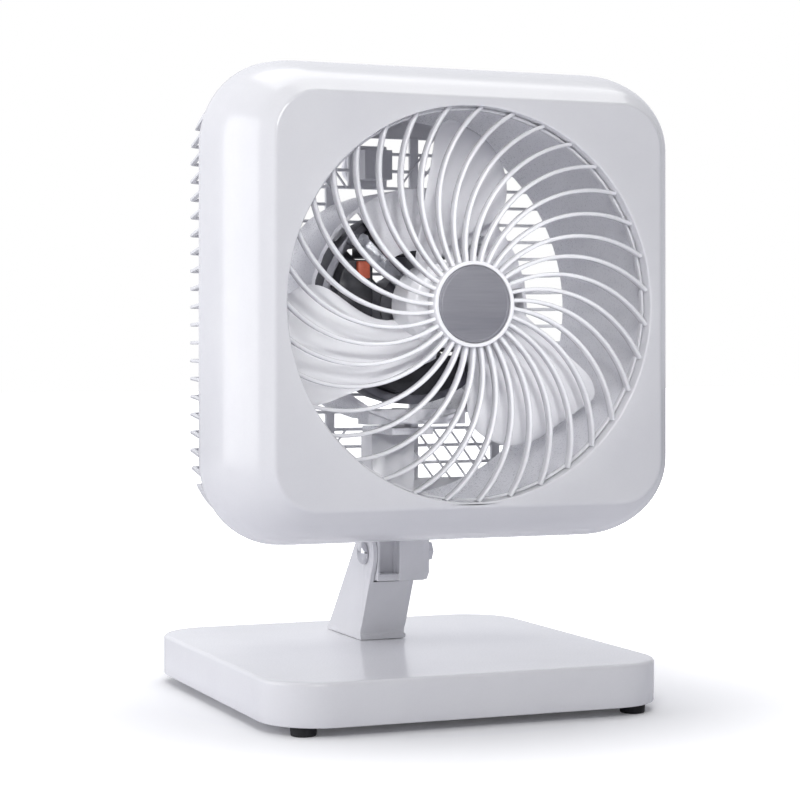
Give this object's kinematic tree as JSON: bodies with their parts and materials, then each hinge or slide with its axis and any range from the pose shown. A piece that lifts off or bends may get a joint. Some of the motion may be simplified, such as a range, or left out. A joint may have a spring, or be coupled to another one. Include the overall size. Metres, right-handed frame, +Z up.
{
  "type": "box fan",
  "caption": "Small tilting box fan: a square housing with a fixed grille of curved bars and a bladed wheel, hinged on an arm over a flat square base.",
  "frame": {"origin": "on the table, under the middle of the base, at the underside of the rubber feet", "axes": "+Z up, -Y out of the front grille (the way the air leaves), +X to the right as seen from the front"},
  "size_m": [0.28, 0.247, 0.371],
  "materials": {
    "shell_plastic": "glossy white moulding",
    "inner_plastic": "satin light grey moulding",
    "blade_plastic": "glossy white moulding",
    "badge_metal": "fine brushed grey",
    "foot_rubber": "matte black",
    "bolt_chrome": "bright plated",
    "screw_steel": "zinc plated, satin",
    "stator_steel": "stacked electrical sheet, thin lacquer",
    "winding_tape": "black insulating tape, slightly glossy",
    "switch_plastic": "light grey moulding",
    "fuse_red": "orange-red sleeve",
    "bush_bronze": "sintered bronze"
  },
  "bodies": {
    "base": {"base_shell": "shell_plastic", "base_plate": "inner_plastic", "rubber_foot_1": "foot_rubber", "rubber_foot_2": "foot_rubber", "rubber_foot_3": "foot_rubber", "rubber_foot_4": "foot_rubber", "base_screw_1": "screw_steel", "base_screw_2": "screw_steel", "base_screw_3": "screw_steel", "base_screw_4": "screw_steel", "arm": "shell_plastic", "arm_screw_1": "screw_steel", "arm_screw_2": "screw_steel", "tilt_bolt": "bolt_chrome", "tilt_washer": "bolt_chrome"},
    "head": {"hinge_block": "shell_plastic", "hinge_screw_1": "screw_steel", "hinge_screw_2": "screw_steel", "front_shell": "shell_plastic", "front_grille": "shell_plastic", "hub_badge": "badge_metal", "air_duct": "inner_plastic", "rear_cover": "shell_plastic", "housing_screw_1": "screw_steel", "housing_screw_2": "screw_steel", "housing_screw_3": "screw_steel", "housing_screw_4": "screw_steel", "motor_frame": "inner_plastic", "frame_screw_1": "screw_steel", "frame_screw_2": "screw_steel", "stator_core": "stator_steel", "coil_1": "winding_tape", "coil_2": "winding_tape", "coil_3": "winding_tape", "coil_4": "winding_tape", "thermal_fuse": "fuse_red", "front_bracket": "screw_steel", "rear_bracket": "screw_steel", "front_bush": "bush_bronze", "rear_bush": "bush_bronze", "stator_screw_1": "screw_steel", "stator_screw_2": "screw_steel", "stator_screw_3": "screw_steel", "stator_screw_4": "screw_steel", "speed_switch": "switch_plastic", "switch_nut": "screw_steel", "cable_gland": "foot_rubber"},
    "rotor": {"motor_shaft": "screw_steel", "rotor_core": "stator_steel", "fan_blade": "blade_plastic", "fan_nut": "blade_plastic"},
    "clamp_knob": {"clamp_knob": "inner_plastic"},
    "speed_knob": {"speed_knob": "inner_plastic"}
  },
  "joints": [
    {"name": "head_tilt", "type": "hinge", "parent": "base", "child": "head", "pos_m": [0, 0.018, 0.084], "axis": [1, 0, 0], "range_deg": [-25, 12]},
    {"name": "fan_spin", "type": "hinge", "parent": "head", "child": "rotor", "pos_m": [0, -0.06, 0.233], "axis": [0, 1, 0], "continuous": true},
    {"name": "clamp_turn", "type": "hinge", "parent": "base", "child": "clamp_knob", "pos_m": [0.026, 0.018, 0.084], "axis": [1, 0, 0], "range_deg": [0, 180]},
    {"name": "speed_turn", "type": "hinge", "parent": "head", "child": "speed_knob", "pos_m": [-0.003, 0.055, 0.321], "axis": [0, 1, 0], "range_deg": [0, 120]}
  ]
}
